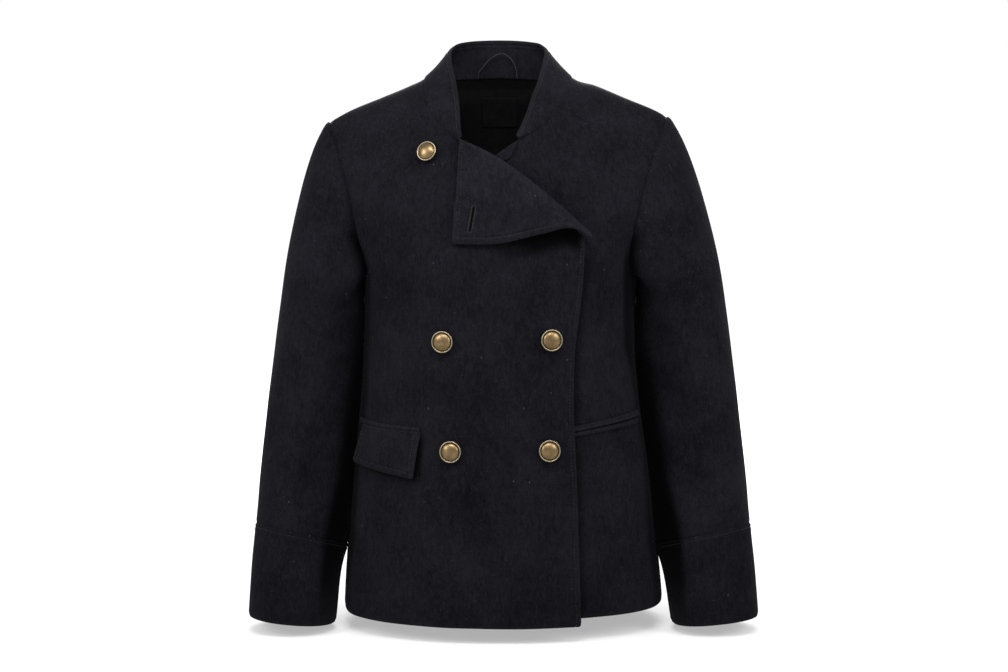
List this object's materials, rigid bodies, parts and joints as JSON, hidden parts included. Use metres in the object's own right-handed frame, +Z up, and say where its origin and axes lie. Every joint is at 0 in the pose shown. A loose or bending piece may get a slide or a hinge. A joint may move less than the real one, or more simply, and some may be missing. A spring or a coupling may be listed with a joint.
{
  "type": "overcoat",
  "caption": "Short double-breasted wool overcoat, open at the neck with one lapel turned back, stand collar, flap pocket and domed metal buttons.",
  "frame": {"origin": "middle of the shoulder line at the base of the neck, where the wearer's shoulders hold the coat", "axes": "+Z up, -Y towards the front of the coat, +X towards the wearer's left"},
  "size_m": [0.5826, 0.2476, 0.6655],
  "materials": {
    "wool": "matte felted wool",
    "lining": "satin weave",
    "label": "woven, plain",
    "cord": "braided",
    "brass": "antique, satin"
  },
  "bodies": {
    "root": {"back": "wool", "front_right": "wool", "front_left": "wool", "lapel": "wool", "collar": "wool", "sleeve_right": "wool", "sleeve_left": "wool", "cuff_right": "wool", "cuff_left": "wool", "pocket_flap": "wool", "jet_right": "wool", "jet_left_upper": "wool", "jet_left_lower": "wool", "button_top": "brass", "button_mid_right": "brass", "button_mid_left": "brass", "button_low_right": "brass", "button_low_left": "brass", "hanging_loop": "cord", "neck_label": "label", "back_lining": "lining"}
  },
  "joints": []
}
